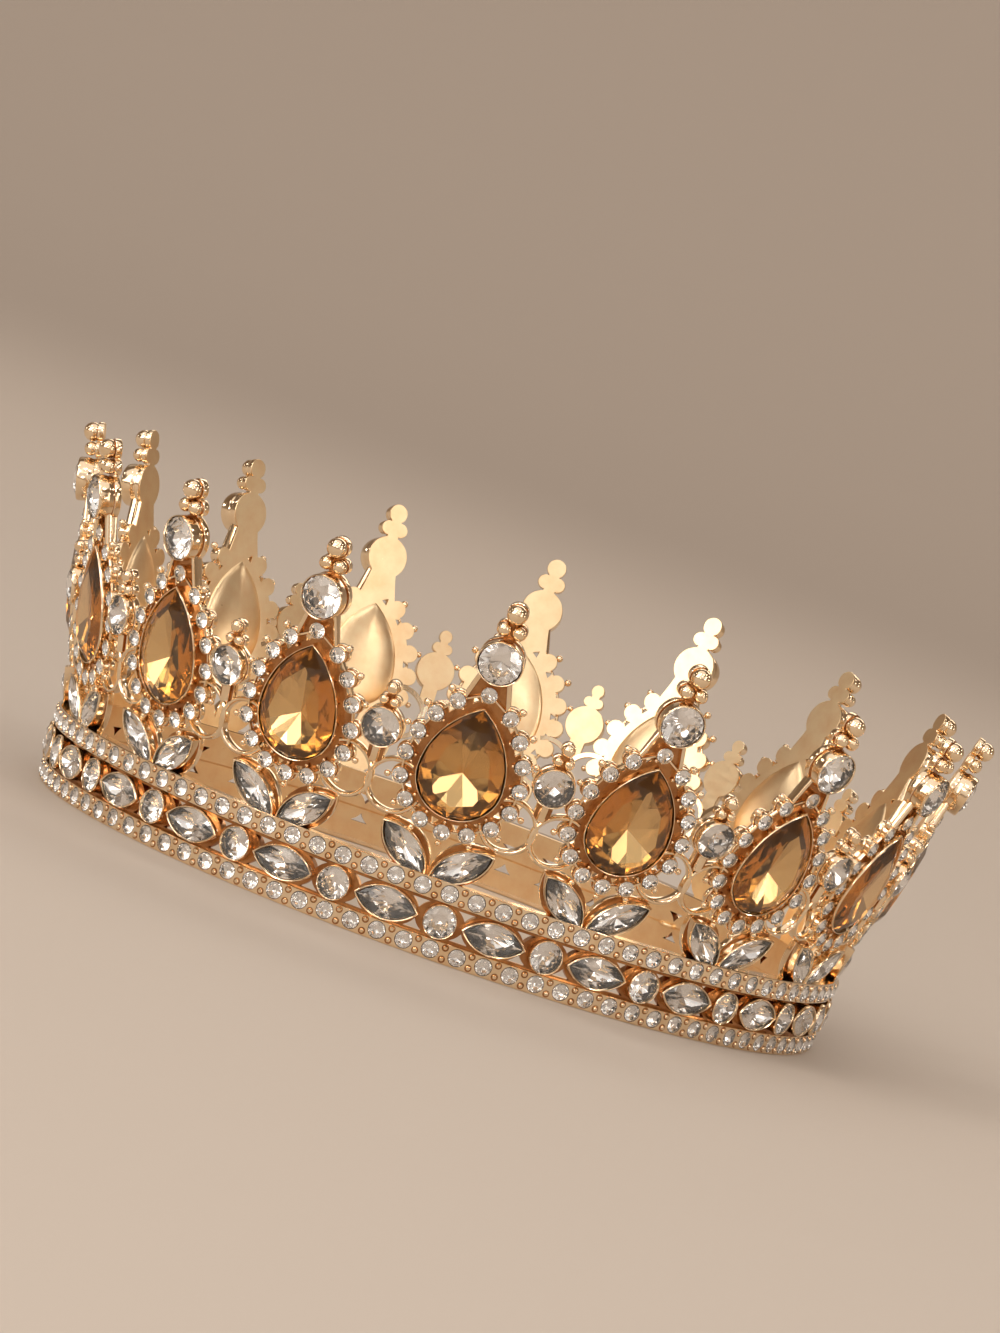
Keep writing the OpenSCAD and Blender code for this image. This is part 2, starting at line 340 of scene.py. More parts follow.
def stone(girdle, table, crown, depth, middle=(0, 0), knee=0.82, keel=0.5, edge=0.12, steps=False):
    """Cut stone from its girdle of an even number of points: table, star, kite and girdle
    facets above, which lie in flat steps if asked, and main and lower facets below, which
    carry the foil."""
    girdle = np.asarray(girdle, float)
    n, m = len(girdle), len(girdle) // 2
    middle = np.asarray(middle, float)
    cos = math.cos(math.pi / m)
    rise = (1 - knee) / (1 - table * cos) if steps else (1 - knee * cos) / (1 - table)

    def ring(points, share, height):
        return np.c_[middle + share * (points - middle), np.full(len(points), height)]

    even, odd = girdle[0::2], girdle[1::2]
    points = np.vstack([
        ring(even, table, crown), ring(odd, knee, crown * rise),
        ring(girdle, 1, 0), ring(girdle, 1, -edge),
        ring(odd, keel, -edge - depth * (1 - keel * cos)), [[*middle, -edge - depth]]])
    knee_at, top_at = m, 2 * m
    low_at, keel_at, tip = 2 * m + n, 2 * m + 2 * n, 3 * m + 2 * n
    faces = [tuple(range(m))]
    for i in range(m):
        after, before = (i + 1) % m, (i - 1) % m
        g, h, k = 2 * i, 2 * i + 1, (2 * i + 2) % n
        faces += [(i, knee_at + i, after),
                  (i, knee_at + before, top_at + g), (i, top_at + g, knee_at + i),
                  (knee_at + i, top_at + g, top_at + h), (knee_at + i, top_at + h, top_at + k),
                  (top_at + g, low_at + g, low_at + h, top_at + h),
                  (top_at + h, low_at + h, low_at + k, top_at + k)]
    finish = [THIRD] + [FIRST] * (len(faces) - 1)
    for i in range(m):
        before = (i - 1) % m
        g, h, k = 2 * i, 2 * i + 1, (2 * i + 2) % n
        faces += [(tip, keel_at + i, low_at + g, keel_at + before),
                  (keel_at + i, low_at + h, low_at + g), (keel_at + i, low_at + k, low_at + h)]
        finish += [SECOND] * 3
    return Form().add(points, faces, finish)


# Places on the crown

def wrapped(points):
    """From the flat drawing of a peak to the front of the crown, in metres. The sheet is
    bent part of the way from flat to a true circle."""
    side, up, out = np.asarray(points, float).T
    back = BACK_R + up * math.sin(LEAN)
    turn = side / (back + SHEET / 2)
    bulge = (1 - ROUNDNESS) * back * (1 / np.cos(turn) - 1)
    radius = back + bulge + out * math.cos(LEAN)
    rise = BAND_H + up * math.cos(LEAN) - out * math.sin(LEAN)
    return np.c_[radius * np.sin(turn), -radius * np.cos(turn), rise] * MM


def sheet_seat(side, up, out, spin=0.0):
    """Place and turn, as a matrix, of what is set on a peak's sheet."""
    yaw = ROUNDNESS * side / (BACK_R + up * math.sin(LEAN) + SHEET / 2)
    aim = Matrix.Rotation(yaw, 4, "Z") @ Matrix.Rotation(math.pi / 2 + LEAN, 4, "X")
    place = Vector(wrapped([(side, up, out)])[0])
    return Matrix.Translation(place) @ aim @ Matrix.Rotation(spin, 4, "Z")


def flat_seat(turn, up, out):
    """The same on a flat sheet that faces the given turn, for what stands between peaks."""
    radius = BACK_R + MID_OUT + up * math.sin(LEAN) + out * math.cos(LEAN)
    rise = BAND_H + up * math.cos(LEAN) - out * math.sin(LEAN)
    place = Matrix.Translation(Vector((0, -radius, rise)) * MM)
    aim = Matrix.Rotation(math.pi / 2 + LEAN, 4, "X")
    return Matrix.Rotation(math.radians(turn), 4, "Z") @ place @ aim


def front_r(rise):
    return RIM_R + FLARE * rise / BAND_H


def band_seat(turn, rise, out):
    """The same on the band; out is counted from the front of the rails."""
    radius = front_r(rise) + out * math.cos(BAND_TILT)
    place = Vector((0, -radius, rise - out * math.sin(BAND_TILT))) * MM
    aim = Matrix.Rotation(math.pi / 2 + BAND_TILT, 4, "X")
    return Matrix.Rotation(math.radians(turn), 4, "Z") @ Matrix.Translation(place) @ aim


def at(seat):
    """Change that carries points in millimetres to a seat."""
    matrix = np.array(seat)
    return lambda points: points * MM @ matrix[:3, :3].T + matrix[:3, 3]


def halo_places():
    """Middles of the small cups round a teardrop, from the lowest one turning left."""
    low, high = DROP_R + HALO_GAP, DROP_R + DROP_SIDE + HALO_GAP
    right = [(low * math.cos(a), low * math.sin(a))
             for a in np.radians([24.3 * i - 90 for i in (1, 2, 3)])]
    right += [(high * math.cos(a) - DROP_SIDE, high * math.sin(a))
              for a in np.radians([4 + 13.8 * i for i in range(4)])]
    left = [(-x, y) for x, y in reversed(right)]
    return np.array([(0, -low), *right, (0, HALO_TOP), *left])


# Places without an outer grain, with a larger one, and with a hole before them; the grains'
# distance from a cup's middle; and how far each kind of piece stands off the sheet's back
HALO = halo_places()
NO_GRAIN = (4, 8, 12)
LARGE_GRAIN = (6, 7, 9, 10)
HOLES = (1, 2, 3, 4, 6, 7, 9, 10, 12, 13, 14, 15, 0)
GRAIN_OUT = 2.3
GRAIN_IN = 1.75
HALO_CUP_UP = 0.5
GRAIN_UP = 1.65
INNER_GRAIN_UP = 1.7
HALO_STONE_UP = 2.36


def outwards(spot):
    """Direction from the teardrop's outline to a spot outside it."""
    x, y = spot
    centre = np.array([-math.copysign(DROP_SIDE, x), 0]) if y > 0 else np.zeros(2)
    away = spot - centre
    return away / np.linalg.norm(away)


def scroll_x():
    """Sideways place of a scroll's centre, so that it meets its neighbour between two peaks."""
    meet = BACK_R + (SCROLL_AT + SCROLL_MEET) * math.sin(LEAN) + SHEET / 2
    return math.radians(PITCH / 2) * meet + SCROLL_OVERLAP - SCROLL_R


# Sub-parts of a peak, drawn flat

def on_leaf(outline, side):
    """An outline turned and moved to the leaf on one side."""
    cos, sin = math.cos(side * LEAF_TILT), math.sin(side * LEAF_TILT)
    return outline @ np.array([[cos, sin], [-sin, cos]]) + (side * LEAF_AT[0], LEAF_AT[1])


def leaf(grow, side, steps=10):
    return on_leaf(boat(LEAF, grow, steps), side)


def petal(side):
    """Back of a leaf: wider than its cup, and cut off where it meets the band."""
    return np.maximum(on_leaf(boat(PETAL, 0, 12), side), (-np.inf, SHEET_LOW))


def peak_sheet():
    lift = np.array([0, DROP_AT])
    top = np.array([0, TOP_AT])
    across, up = TOP_LOW_BALL
    neck = [(-3.9, 33.2), (3.9, 33.2), (2.5, 39.0), (-2.5, 39.0)]
    stem = [(-1.2, 44), (1.2, 44), (1.0, 50), (-1.0, 50)]
    foot = [(-6.5, SHEET_LOW), (6.5, SHEET_LOW), (6.5, 0.9), (-6.5, 0.9)]
    solids = [teardrop(HALO_GAP - 0.35) + lift]
    solids += [circle(HALO_CUP_R + 0.12, p + lift, 16) for p in HALO]
    solids += [neck, circle(TOP_R + 0.05, top, 36)]
    solids += [circle(TOP_LOW_BALL_R + 0.12, top + (side * across, up), 18) for side in (-1, 1)]
    solids += [circle(TOP_BALL_R + 0.1, top + (0, TOP_BALL_UP), 22), stem]
    solids += [petal(side) for side in (-1, 1)]
    solids += [circle(LEAF_LINK_R, (side * LEAF_LINK[0], LEAF_LINK[1]), 12) for side in (-1, 1)]
    solids.append(foot)
    holes = [teardrop(-DROP_WALL) + lift]
    holes += [corner_hole((HALO[i] + HALO[i - 1]) / 2, lift) for i in HOLES]
    reach = 10 * BEND_STEP
    lines = [((x, -1), (x, 53)) for x in np.arange(-reach, reach + 0.1, BEND_STEP)]
    wells = [circle(3.0, top)] + [leaf(-1.0, side) for side in (-1, 1)]
    spots, triangles, sunk = cut_sheet(solids, holes, lines, wells)
    return thick_sheet(spots, triangles, 0, SHEET_FRONT, sunk)


def corner_hole(middle, lift):
    """Small three-cornered hole in the groove between the teardrop and two halo cups."""
    away = outwards(middle)
    across = np.array([away[1], -away[0]]) * 0.62
    foot = middle - away * 1.2
    return np.array([middle, foot - across, foot + across]) + lift


def drop_cup():
    section = [(0.25, 0.3), (0.16, 1.2), (0.12, 2.5), (0.08, 2.8), (-0.02, 2.95), (-0.12, 2.9),
               (-0.18, 2.72), (-0.18, 2.45), (-DROP_WALL, 0.6), (-0.3, 0.3)]
    return wall(lambda grow: teardrop(grow, 14, 22) + (0, DROP_AT), section)


def drop_dome():
    """Smooth dome behind the teardrop: a thin shell that closes the sheet's opening."""
    shares = np.array([1, 0.985, 0.95, 0.88, 0.74, 0.52, 0.26])
    outline = teardrop(-DROP_WALL + 0.25, 13, 20)
    middle = np.array([0, 1.6])
    points, rows = [], []
    for depth, sag in ((0.0, DOME_H), (DOME_SHELL, DOME_H * 0.9)):
        for share in shares:
            ring = middle + share * (outline - middle)
            height = depth - sag * (1 - share ** 2) ** 0.55
            rows.append(range(len(points), len(points) + len(ring)))
            points += [(x, y + DROP_AT, height) for x, y in ring]
        rows.append(range(len(points), len(points) + 1))
        points.append((middle[0], middle[1] + DROP_AT, depth - sag))
    half = len(shares) + 1
    faces, finish = [], []
    order = list(range(half - 1, -1, -1)) + list(range(half, 2 * half))
    for below, above in zip(order, order[1:]):
        new = bridged(rows[below], rows[above])
        faces += new
        finish += [SECOND if below < half else FIRST] * len(new)
    return Form().add(points, faces, finish)


def leaf_cup(side):
    section = [(0.08, 0.3), (0.02, 1.2), (0, 2.5), (-0.05, 2.75), (-0.14, 2.88), (-0.24, 2.82),
               (-WALL, 2.6), (-WALL, 1.3), (-WALL, 0.3)]
    return wall(lambda grow: leaf(grow, side, 12), section)


def top_cup():
    profile = [(0, 0.2), (3.6, 0.2), (3.85, 0.5), (3.88, 1.8), (4.0, 2.0), (TOP_R, 2.3),
               (TOP_R, 3.75), (4.0, 4.05), (3.9, 4.18), (3.82, 4.12), (3.78, 3.9), (3.76, 0.55),
               (0, 0.45)]
    return lathe(profile, 32, (0, TOP_AT))


def top_balls():
    form = Form()
    across, up = TOP_LOW_BALL
    for side in (-1, 1):
        form.take(ball_end(TOP_LOW_BALL_R, 3.4, (side * across, TOP_AT + up)))
    return form.take(ball_end(TOP_BALL_R, 3.92, (0, TOP_AT + TOP_BALL_UP), 20))


def scroll(side):
    turns = np.radians(np.linspace(-164, 116, 34))
    path = np.c_[side * (scroll_x() + SCROLL_R * np.cos(turns)),
                 SCROLL_AT + SCROLL_R * np.sin(turns)]
    half = SCROLL_W / 2
    section = [(-half * 0.9, 0), (half * 0.9, 0), (half, 0.2), (half, 0.9),
               (half * 0.8, 1.3), (half * 0.35, 1.5), (-half * 0.35, 1.5), (-half * 0.8, 1.3),
               (-half, 0.9), (-half, 0.2)]
    return rod(path, section)


def neck_bars():
    form = Form()
    for side in (-1, 1):
        path = [(side * 2.3, 39.2), (side * 2.75, 37.6), (side * 3.3, 35.6), (side * 3.9, 33.4)]
        form.take(rod(path, oval(0.95, 0.9, 2.3, 8)))
    return form


def peak():
    form = Form()
    for part in (peak_sheet(), drop_cup(), drop_dome(), leaf_cup(-1), leaf_cup(1), top_cup(),
                 top_balls(), scroll(-1), scroll(1), neck_bars()):
        form.take(part)
    return Form().take(form, wrapped)


def halo_links():
    """Small bars from each halo cup to the next, and the stubs under the grains."""
    form = Form()
    section = oval(0.6, 1.2, 2.0, 6)
    lift = np.array([0, DROP_AT])
    for i in range(len(HALO)):
        start, end = HALO[i - 1] + lift, HALO[i] + lift
        along = (end - start) / np.linalg.norm(end - start) * CUP_WALL_R
        form.take(rod([start + along, (start + end) / 2, end - along], section))
        if i not in NO_GRAIN:
            away = outwards(HALO[i])
            form.take(rod([end + away * CUP_WALL_R, end + away * (GRAIN_OUT - 0.1)], section))
    return Form().take(form, wrapped)


def halo_cup():
    profile = [(0, 0), (1.46, 0), (1.6, 1.5), (1.6, 1.86), (1.52, 1.98), (1.43, 1.8),
               (1.4, 0.75), (0, 0.6)]
    return lathe(profile, 14)


def grain(radius, sides=10):
    rows = np.radians([-60, -30, 0, 30, 60])
    profile = [(0, -radius)] + [(radius * math.cos(a), radius * math.sin(a)) for a in rows]
    return lathe(profile + [(0, radius)], sides)


def raised_grain():
    """Grain between two small stones, inside the ring that the graver leaves; the ring takes the
    second finish, the dark gold that paints its shade.
    """
    ring = lathe([(0, -0.1), (0.66, -0.1), (0.66, 0.012), (0, 0.03)], 12)
    ring.finish = [SECOND] * len(ring.faces)
    return ring.take(lathe([(0, -0.1), (0.47, -0.1), (0.45, 0.14), (0.29, 0.35), (0, 0.42)], 8))


# What stands between two peaks, drawn flat

def between():
    lift = np.array([0, MID_AT])
    across, up = MID_LOW_BALL
    foot = [(-1.5, 16.4), (1.5, 16.4), (1.5, 21), (-1.5, 21)]
    stem = [(-0.8, 25), (0.8, 25), (0.8, 29.8), (-0.8, 29.8)]
    solids = [circle(MID_R + 0.1, lift, 30), foot]
    solids += [circle(MID_LOW_BALL_R + 0.1, lift + (side * across, up), 14) for side in (-1, 1)]
    solids += [circle(MID_BALL_R + 0.1, lift + (0, MID_BALL_UP), 16), stem]
    spots, triangles, sunk = cut_sheet(solids, [], [], [circle(2.7, lift)])
    form = Form().take(thick_sheet(spots, triangles, 0, SHEET_FRONT, sunk, 0.2))
    profile = [(0, 0.2), (3.4, 0.2), (3.55, 0.6), (3.57, 1.2), (MID_R, 1.45), (MID_R, 2.6),
               (3.65, 2.86), (3.57, 2.98), (3.49, 2.93), (3.45, 2.75), (3.43, 0.4), (0, 0.3)]
    form.take(lathe(profile, 30, (0, MID_AT)))
    for side in (-1, 1):
        form.take(ball_end(MID_LOW_BALL_R, 2.58, (side * across, MID_AT + up), 14))
    form.take(ball_end(MID_BALL_R, 2.83, (0, MID_AT + MID_BALL_UP), 16))
    form.take(rod([(0, 16.6), (0, 18.2), (0, 20.2)], oval(1.6, 0.9, 2.1, 8)))
    return Form().take(form, at(flat_seat(PITCH / 2, 0, 0)))


# The band, drawn unrolled: sideways round the ring, and up

HALF_UNIT = math.radians(360 / PAIRS / 2) * RIM_R
CELL_W = math.radians(CELL) * RIM_R
MIDDLES = [-HALF_UNIT + CELL_W * (i + 0.5) for i in range(4)]
COLUMNS = np.linspace(-HALF_UNIT, HALF_UNIT, 13)
UNIT_MIDDLE = 1.5 * CELL
ROUND_X = -0.5 * CELL_W
BOAT_X = 1.5 * CELL_W
ROUND_TURN = CELL
BOAT_TURN = 3 * CELL
INNER = [(0.9, 73.0), (3.0, 73.15), (6.8, 73.1), (7.2, 72.6), (13.85, 72.2)]
INNER_LOW, INNER_HIGH = INNER[0][0], INNER[-1][0]
CHANNEL_TOP = BAND_H - RAIL_H
WINDOW_HALF = 1.75
WINDOW_HOLLOW = 0.22
WINDOW_TURN = 3.3


def ringed(points, radius_of):
    side, up = np.asarray(points, float).T
    turn = side / RIM_R + math.radians(UNIT_MIDDLE)
    radius = radius_of(up)
    return np.c_[radius * np.sin(turn), -radius * np.cos(turn), up] * MM


def inner_r(up):
    return np.interp(up, [z for z, _ in INNER], [r for _, r in INNER])


def channel_r(up):
    return front_r(up) - CHANNEL


def window(middle, base, apex):
    """Three-cornered window with hollow sides, pointing up or down."""
    corners = [(middle - WINDOW_HALF, base), (middle + WINDOW_HALF, base), (middle, apex)]
    inside = np.array([middle, (2 * base + apex) / 3])
    points = []
    for start, end in zip(corners, corners[1:] + corners[:1]):
        start, end = np.array(start), np.array(end)
        bow = 0.0 if start[1] == end[1] else WINDOW_HOLLOW
        for t in (0, 0.33, 0.67):
            spot = start + (end - start) * t
            points.append(spot + (inside - spot) * bow * 4 * t * (1 - t))
    return points if apex > base else points[::-1]


def strip(profile):
    """Bands between (up, radius) pairs that run the length of a unit."""
    n = len(COLUMNS)
    points = np.vstack([ringed([(x, up) for x in COLUMNS], lambda _, r=radius: np.full(n, r))
                        for up, radius in profile])
    rows = [range(n * i, n * (i + 1)) for i in range(len(profile))]
    faces = []
    for below, above in zip(rows, rows[1:]):
        faces += bridged(below, above, closed=False)
    return Form().add(points, faces)


def rail(low, high):
    """Front of a rail, drilled for its small stones; the drill holes take the third finish, the
    dark gold that paints their shade.
    """
    middle = (low + high) / 2
    seats = [circle(1.6, (x, middle), 20) for x in MIDDLES]
    sheet = [(-HALF_UNIT, low), (HALF_UNIT, low), (HALF_UNIT, high), (-HALF_UNIT, high)]
    lines = [((x, edge), (x, edge + inwards)) for x in COLUMNS[1:-1]
             for edge, inwards in ((low, 0.12), (high, -0.12))]
    spots, triangles, _ = cut_sheet([sheet], seats, lines)
    form = Form().add(ringed(spots, front_r), triangles)
    for seat in seats:
        centre = seat.mean(axis=0)
        shrunk = centre + (seat - centre) * 0.93
        n = len(seat)
        points = np.vstack([ringed(seat, front_r),
                            ringed(shrunk, lambda z: front_r(z) - DRILLED)])
        faces = bridged(range(n), range(n, 2 * n)) + [tuple(range(n, 2 * n))]
        form.add(points, faces, THIRD)
    return form


def band_walls():
    """Channel and inner wall, pierced by the same windows. The channel and the wells under the
    stones take the third finish, the dark gold that paints their shade.
    """
    aside = math.radians(WINDOW_TURN) * RIM_R
    middles = (ROUND_X - aside, ROUND_X + aside)
    windows = [window(x, 9.75, 8.0) for x in middles] + [window(x, 4.25, 6.0) for x in middles]
    low, high = INNER_LOW, INNER_HIGH
    sheet = [(-HALF_UNIT, low), (HALF_UNIT, low), (HALF_UNIT, high), (-HALF_UNIT, high)]
    rows = [RAIL_H, CHANNEL_TOP] + [z for z, _ in INNER[1:-1]]
    lines = [((x, low), (x, high)) for x in COLUMNS[1:-1]]
    lines += [((-HALF_UNIT, z), (HALF_UNIT, z)) for z in rows]
    wells = [circle(2.3, (ROUND_X, BAND_H / 2), 16),
             boat((4.6, 3.0), 0) + (BOAT_X, BAND_H / 2)]
    spots, triangles, sunk = cut_sheet([sheet], windows, lines, wells)
    corners = Corners(inner=ringed(spots, inner_r), channel=ringed(spots, channel_r),
                      well=ringed(spots, lambda z: front_r(z) - WELL))
    faces = [corners("inner", t[::-1]) for t in triangles]
    finish = [SECOND] * len(faces)
    for number, triangle in enumerate(triangles):
        if RAIL_H < spots[list(triangle), 1].mean() < CHANNEL_TOP:
            faces.append(corners("well" if number in sunk else "channel", triangle))
    for a, b in border([triangles[number] for number in sunk]):
        faces.append(corners("well", (b, a)) + corners("channel", (a, b)))
    for a, b in border(triangles):
        if all(low < spots[i, 1] < high and abs(spots[i, 0]) < HALF_UNIT - 0.01 for i in (a, b)):
            faces.append(corners("inner", (a, b)) + corners("channel", (b, a)))
    finish += [THIRD] * (len(faces) - len(finish))
    return Form().add(corners.points, faces, finish)


def band_unit():
    form = Form().take(rail(RAIL_LOW, LOW_RAIL_TOP)).take(rail(HIGH_RAIL_FOOT, RAIL_HIGH))
    form.take(band_walls())
    form.take(strip([(LOW_RAIL_TOP, front_r(LOW_RAIL_TOP)), (RAIL_H, front_r(RAIL_H) - 0.1),
                     (RAIL_H, channel_r(RAIL_H))]))
    form.take(strip([(CHANNEL_TOP, channel_r(CHANNEL_TOP)),
                     (CHANNEL_TOP, front_r(CHANNEL_TOP) - 0.1),
                     (HIGH_RAIL_FOOT, front_r(HIGH_RAIL_FOOT))]))
    form.take(strip([(RAIL_HIGH, front_r(RAIL_HIGH)), (BAND_H, front_r(BAND_H) - 0.15),
                     (BAND_H, 72.35), (INNER_HIGH, inner_r(INNER_HIGH))]))
    form.take(strip([(INNER_LOW, inner_r(INNER_LOW)), (0.45, 73.03), (0.12, 73.2), (0, 73.5),
                     (0, RIM_R - 0.25), (0.08, RIM_R - 0.07), (RAIL_LOW, front_r(RAIL_LOW))]))
    return form


def band_cups():
    round_cup = lathe([(0, -0.95), (2.9, -0.95), (3.0, 0.6), (ROUND_R, 0.8), (ROUND_R, 1.55),
                       (3.05, 1.78), (2.97, 1.88), (2.9, 1.83), (2.86, 1.65), (2.84, -0.8),
                       (0, -0.85)], 28)
    section = [(-0.1, -0.4), (-0.06, 0.6), (0, 0.8), (0, 1.55), (-0.05, 1.78), (-0.14, 1.88),
               (-0.24, 1.83), (-WALL, 1.65), (-WALL, -0.4)]
    boat_cup = wall(lambda grow: boat(BOAT, grow, 14), section)
    form = Form().take(round_cup, at(band_seat(ROUND_TURN, BAND_H / 2, -CHANNEL)))
    return form.take(boat_cup, at(band_seat(BOAT_TURN, BAND_H / 2, -CHANNEL)))


def ribbon_loop():
    """Small wire eye soldered to the inside of the band."""
    radius, wire = 1.5, 0.4
    points, rows = [], []
    for turn in np.radians(np.arange(0, 360, 15)):
        rows.append(range(len(points), len(points) + 8))
        for a in np.radians(np.arange(0, 360, 45)):
            reach = radius + wire * math.cos(a)
            points.append((reach * math.sin(turn), BACK_R + 0.6 + reach * math.cos(turn),
                           7 + wire * math.sin(a)))
    faces = []
    for below, above in zip(rows, rows[1:] + rows[:1]):
        faces += bridged(below, above)
    return Form().add(np.array(points) * MM, faces, SECOND)


# Geometry Nodes: what is set on seats, and what goes round the crown

def socket(tree, name, kind, direction="INPUT"):
    return tree.interface.new_socket(name, in_out=direction, socket_type="NodeSocket" + kind)


def seat_tree():
    """Sets one form on every point of a mesh, turned by the point's own turn."""
    tree = bpy.data.node_groups.new("Set on seats", "GeometryNodeTree")
    socket(tree, "Seats", "Geometry")
    socket(tree, "Form", "Object")
    socket(tree, "Geometry", "Geometry", "OUTPUT")
    start, end = tree.nodes.new("NodeGroupInput"), tree.nodes.new("NodeGroupOutput")
    form = tree.nodes.new("GeometryNodeObjectInfo")
    place = tree.nodes.new("GeometryNodeInstanceOnPoints")
    real = tree.nodes.new("GeometryNodeRealizeInstances")
    link = tree.links.new
    link(start.outputs["Form"], form.inputs["Object"])
    link(start.outputs["Seats"], place.inputs["Points"])
    link(form.outputs["Geometry"], place.inputs["Instance"])
    for name, target in (("turn", "Rotation"), ("grow", "Scale")):
        read = tree.nodes.new("GeometryNodeInputNamedAttribute")
        read.data_type = "FLOAT_VECTOR"
        read.inputs["Name"].default_value = name
        link(read.outputs["Attribute"], place.inputs[target])
    link(place.outputs["Instances"], real.inputs["Geometry"])
    link(real.outputs["Geometry"], end.inputs["Geometry"])
    return tree


FINISH_NAMES = ("First material", "Second material", "Third material")


def ring_tree():
    """Repeats a mesh round the crown's axis, welds it and gives it its materials."""
    tree = bpy.data.node_groups.new("Round the crown", "GeometryNodeTree")
    socket(tree, "Geometry", "Geometry")
    socket(tree, "Count", "Int")
    socket(tree, "Weld", "Float")
    for name in FINISH_NAMES:
        socket(tree, name, "Material")
    socket(tree, "Geometry", "Geometry", "OUTPUT")
    new, link = tree.nodes.new, tree.links.new
    start, end = new("NodeGroupInput"), new("NodeGroupOutput")
    line, place = new("GeometryNodeMeshLine"), new("GeometryNodeInstanceOnPoints")
    line.inputs["Offset"].default_value = (0, 0, 0)
    index, step, turn = new("GeometryNodeInputIndex"), new("ShaderNodeMath"), new("ShaderNodeMath")
    step.operation = "DIVIDE"
    step.inputs[0].default_value = math.tau
    turn.operation = "MULTIPLY"
    aim, real = new("ShaderNodeCombineXYZ"), new("GeometryNodeRealizeInstances")
    weld = new("GeometryNodeMergeByDistance")
    mark = new("GeometryNodeInputNamedAttribute")
    mark.data_type = "INT"
    mark.inputs["Name"].default_value = "finish"
    link(start.outputs["Count"], line.inputs["Count"])
    link(start.outputs["Count"], step.inputs[1])
    link(index.outputs["Index"], turn.inputs[0])
    link(step.outputs["Value"], turn.inputs[1])
    link(turn.outputs["Value"], aim.inputs["Z"])
    link(line.outputs["Mesh"], place.inputs["Points"])
    link(start.outputs["Geometry"], place.inputs["Instance"])
    link(aim.outputs["Vector"], place.inputs["Rotation"])
    link(place.outputs["Instances"], real.inputs["Geometry"])
    link(real.outputs["Geometry"], weld.inputs["Geometry"])
    link(start.outputs["Weld"], weld.inputs["Distance"])
    last = weld
    for number, name in enumerate(FINISH_NAMES):
        chosen, coat = new("FunctionNodeCompare"), new("GeometryNodeSetMaterial")
        chosen.data_type = "INT"
        chosen.operation = "EQUAL"
        sockets = [i for i in chosen.inputs if i.type == "INT"]
        sockets[1].default_value = number
        link(mark.outputs["Attribute"], sockets[0])
        link(last.outputs["Geometry"], coat.inputs["Geometry"])
        link(chosen.outputs["Result"], coat.inputs["Selection"])
        link(start.outputs[name], coat.inputs["Material"])
        last = coat
    link(last.outputs["Geometry"], end.inputs["Geometry"])
    return tree


SEATS = seat_tree()
ROUND = ring_tree()


def set_inputs(modifier, **values):
    for item in modifier.node_group.interface.items_tree:
        key = item.name.replace(" ", "_").lower()
        if item.item_type == "SOCKET" and item.in_out == "INPUT" and key in values:
            modifier[item.identifier] = values[key]


def mesh_object(name, form, scale=1.0):
    mesh = bpy.data.meshes.new(name)
    mesh.from_pydata([tuple(scale * c for c in p) for p in form.points], [], form.faces)
    marks = mesh.attributes.new("finish", "INT", "FACE")
    marks.data.foreach_set("value", form.finish)
    thing = bpy.data.objects.new(name, mesh)
    bpy.context.scene.collection.objects.link(thing)
    return thing


def seats_object(name, seats):
    """A point for each seat, which is a matrix or a pair of a matrix and a growth."""
    mesh = bpy.data.meshes.new(name)
    pairs = [s if isinstance(s, tuple) else (s, 1.0) for s in seats]
    mesh.from_pydata([tuple(m.to_translation()) for m, _ in pairs], [], [])
    turns = mesh.attributes.new("turn", "FLOAT_VECTOR", "POINT")
    turns.data.foreach_set("vector", [c for m, _ in pairs for c in m.to_euler()])
    growth = mesh.attributes.new("grow", "FLOAT_VECTOR", "POINT")
    growth.data.foreach_set("vector", [g for _, g in pairs for _ in range(3)])
    thing = bpy.data.objects.new(name, mesh)
    bpy.context.scene.collection.objects.link(thing)
    return thing


def finished(name, source, count, materials, stands_for, form=None, smooth=None):
    """Runs the node trees on a source, keeps the plain mesh as a piece of the crown and
    clears the source away."""
    if form is not None:
        seats = source.modifiers.new("Set on seats", "NODES")
        seats.node_group = SEATS
        set_inputs(seats, form=form)
    ring = source.modifiers.new("Round the crown", "NODES")
    ring.node_group = ROUND
    first, second, third = (materials * 3)[:3]
    set_inputs(ring, count=count, weld=WELD, first_material=first, second_material=second,
               third_material=third)
    graph = bpy.context.evaluated_depsgraph_get()
    mesh = bpy.data.meshes.new_from_object(source.evaluated_get(graph))
    mesh.name = name
    work = bmesh.new()
    work.from_mesh(mesh)
    bmesh.ops.recalc_face_normals(work, faces=work.faces)
    work.to_mesh(mesh)
    work.free()
    mesh.attributes.remove(mesh.attributes["finish"])
    if smooth:
        mesh.shade_smooth()
        mesh.set_sharp_from_angle(angle=math.radians(smooth))
    for used in filter(None, (source, form)):
        bpy.data.objects.remove(used)
    thing = bpy.data.objects.new(name, mesh)
    bpy.context.scene.collection.objects.link(thing)
    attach(thing, "root")
    if stands_for:
        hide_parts(*stands_for)


# Finishes

CRYSTAL_IOR = 1.56


def node(tree, kind, **values):
    made = tree.nodes.new(kind)
    for name, value in values.items():
        if hasattr(made, name):
            setattr(made, name, value)
        else:
            made.inputs[name.replace("_", " ").title()].default_value = value
    return made


def new_finish(name, color, metallic, roughness, **others):
    material = bpy.data.materials.new(name)
    material.use_nodes = True
    shader = material.node_tree.nodes["Principled BSDF"]
    shader.inputs["Base Color"].default_value = (*color, 1)
    shader.inputs["Metallic"].default_value = metallic
    shader.inputs["Roughness"].default_value = roughness
    for key, value in others.items():
        shader.inputs[key.replace("_", " ")].default_value = value
    return material, material.node_tree, shader


